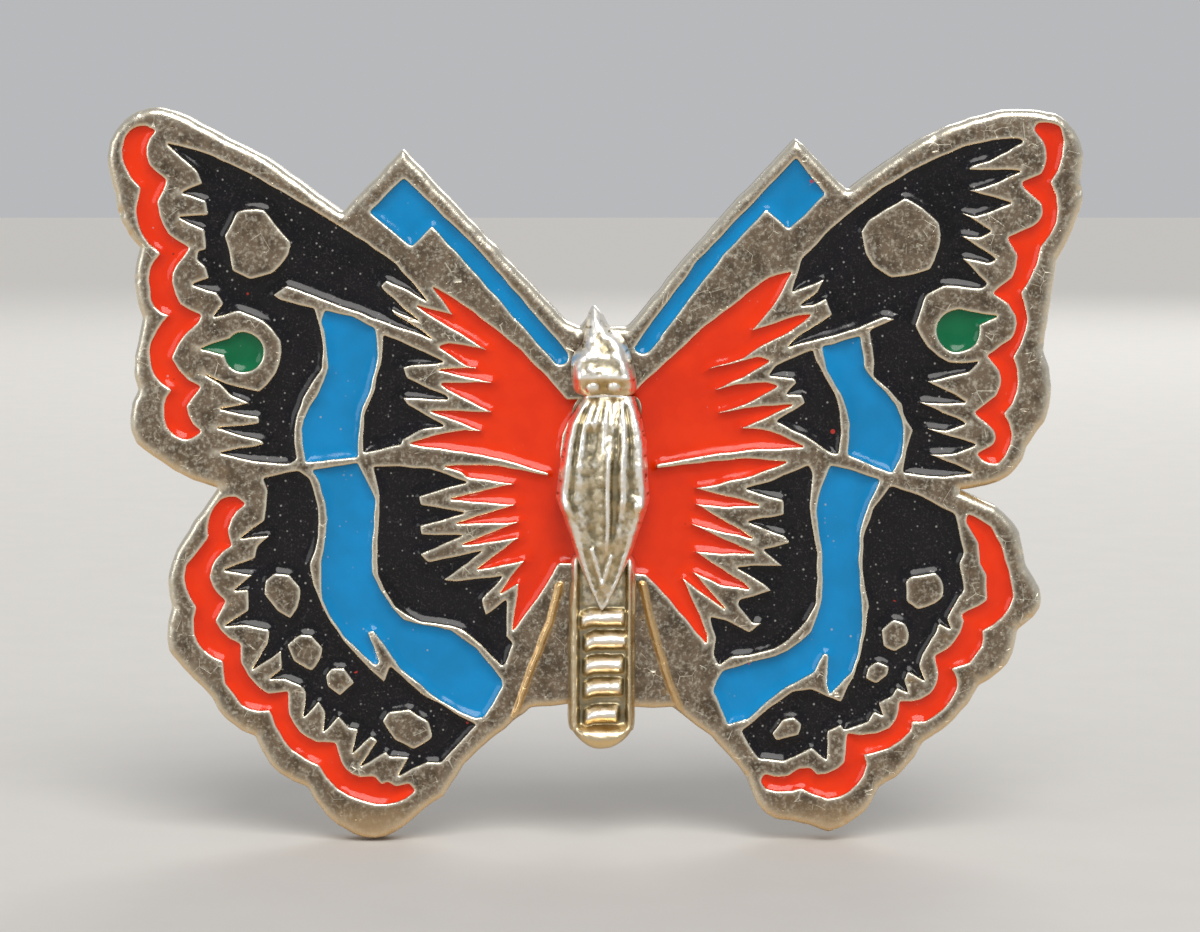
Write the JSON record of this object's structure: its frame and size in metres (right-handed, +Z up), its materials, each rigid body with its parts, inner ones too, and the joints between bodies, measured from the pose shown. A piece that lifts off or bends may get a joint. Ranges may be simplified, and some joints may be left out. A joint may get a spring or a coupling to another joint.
{
  "type": "butterfly brooch",
  "caption": "Enamelled gilt butterfly brooch with a hinged pin and a turning safety catch on its back.",
  "frame": {"origin": "on the axis of the closed pin, at the middle of its straight stretch between hinge and catch", "axes": "+X along the span and the closed pin, from the hinge to the catch; +Z up to the head; the enamelled front faces -Y"},
  "size_m": [0.04, 0.0082, 0.0303],
  "materials": {
    "gilt_metal": "worn gilding, finely pitted",
    "gilt_findings": "gilt, lightly worn",
    "nickel_steel": "drawn wire, polished",
    "enamel_red": "glossy",
    "enamel_blue": "glossy",
    "enamel_black": "glossy, speckled",
    "enamel_green": "glossy"
  },
  "bodies": {
    "brooch": {"base_plate": "gilt_metal", "body_casting": "gilt_metal", "left_fore_margin_red": "enamel_red", "left_hind_margin_red": "enamel_red", "left_burst_red": "enamel_red", "left_costal_blue": "enamel_blue", "left_fore_band_blue": "enamel_blue", "left_hind_band_blue": "enamel_blue", "left_fore_outer_black": "enamel_black", "left_fore_inner_black": "enamel_black", "left_hind_outer_black": "enamel_black", "left_hind_inner_black": "enamel_black", "left_eye_green": "enamel_green", "right_fore_margin_red": "enamel_red", "right_hind_margin_red": "enamel_red", "right_burst_red": "enamel_red", "right_costal_blue": "enamel_blue", "right_fore_band_blue": "enamel_blue", "right_hind_band_blue": "enamel_blue", "right_fore_outer_black": "enamel_black", "right_fore_inner_black": "enamel_black", "right_hind_outer_black": "enamel_black", "right_hind_inner_black": "enamel_black", "right_eye_green": "enamel_green", "hinge_bracket": "gilt_findings", "hinge_rivet": "nickel_steel", "catch_housing": "gilt_findings"},
    "pin": {"pin_stem": "nickel_steel"},
    "lock": {"catch_lock": "nickel_steel"}
  },
  "joints": [
    {"name": "pin_swing", "type": "hinge", "parent": "brooch", "child": "pin", "pos_m": [-0.013, 0, 0], "axis": [0, 0, 1], "range_deg": [0, 95]},
    {"name": "lock_turn", "type": "hinge", "parent": "brooch", "child": "lock", "pos_m": [0.0124, 0, 0], "axis": [1, 0, 0], "range_deg": [0, 110]}
  ]
}
